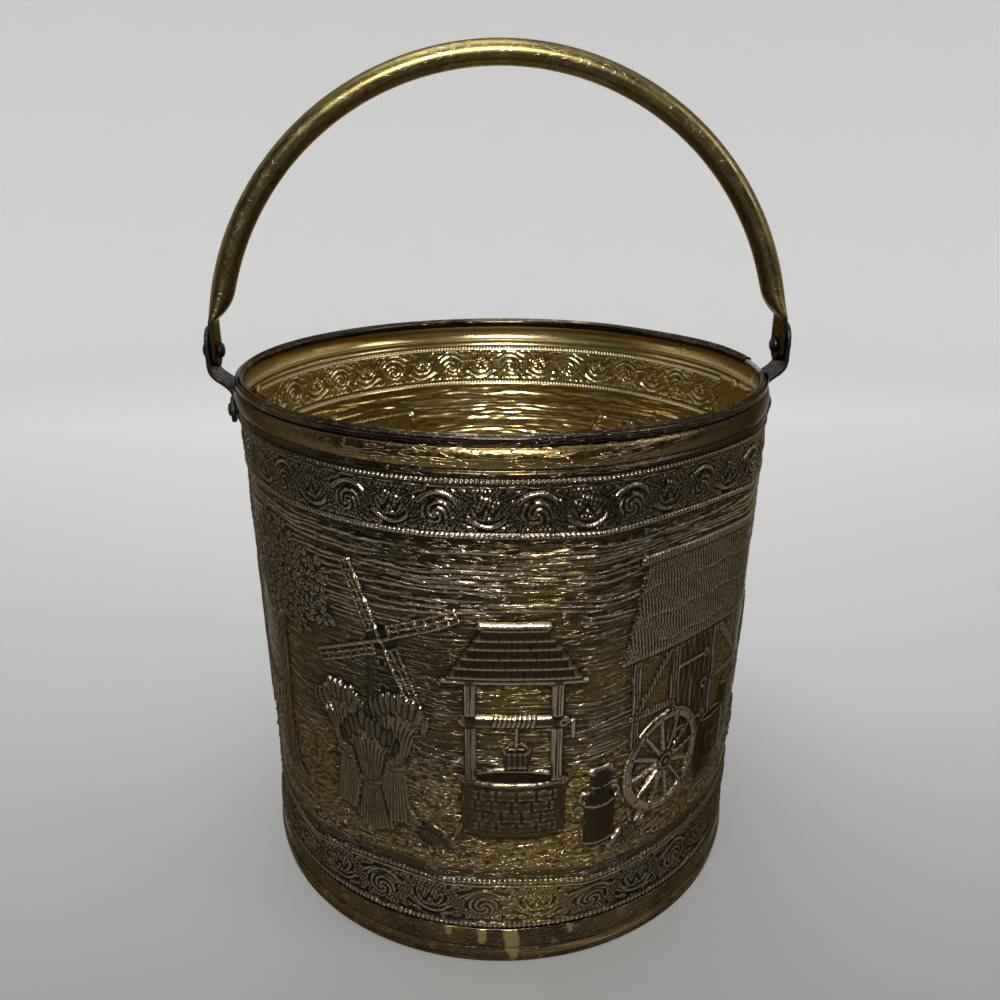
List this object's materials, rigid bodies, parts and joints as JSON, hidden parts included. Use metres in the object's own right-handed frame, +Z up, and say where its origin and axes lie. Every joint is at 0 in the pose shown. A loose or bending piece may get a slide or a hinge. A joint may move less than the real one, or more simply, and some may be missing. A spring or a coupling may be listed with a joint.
{
  "type": "coal scuttle",
  "caption": "Round embossed brass hearth bucket for coal, with a wired rim, a base disc and foot band, riveted steel ears and a swinging tube handle.",
  "frame": {"origin": "centre of the foot, on the ground", "axes": "+Z up, X along the handle's hinge line with the lap seam at +X, -Y to the front"},
  "size_m": [0.3316, 0.2946, 0.4566],
  "materials": {
    "brass_wall": "embossed, dark olive patina with bright worn edges outside and golden brass inside",
    "brass_foot": "smooth, dark brown patina with a worn bead",
    "brass_tube": "satin, olive gold with fine scratches",
    "dark_steel": "dark brown-black oxidised strap",
    "grey_steel": "dull grey wire and tinned base disc"
  },
  "bodies": {
    "bucket": {"body_wall": "brass_wall", "rim_wire": "grey_steel", "base_disc": "grey_steel", "foot_band": "brass_foot", "ear_right": "dark_steel", "pivot_rivet_right": "dark_steel", "ear_left": "dark_steel", "pivot_rivet_left": "dark_steel", "ear_right_rivet_front": "dark_steel", "ear_right_rivet_back": "dark_steel", "ear_left_rivet_front": "dark_steel", "ear_left_rivet_back": "dark_steel"},
    "bail": {"handle": "brass_tube"}
  },
  "joints": [
    {"name": "handle_swing", "type": "hinge", "parent": "bucket", "child": "bail", "pos_m": [0, 0, 0.3006], "axis": [1, 0, 0], "range_deg": [-90, 90]}
  ]
}
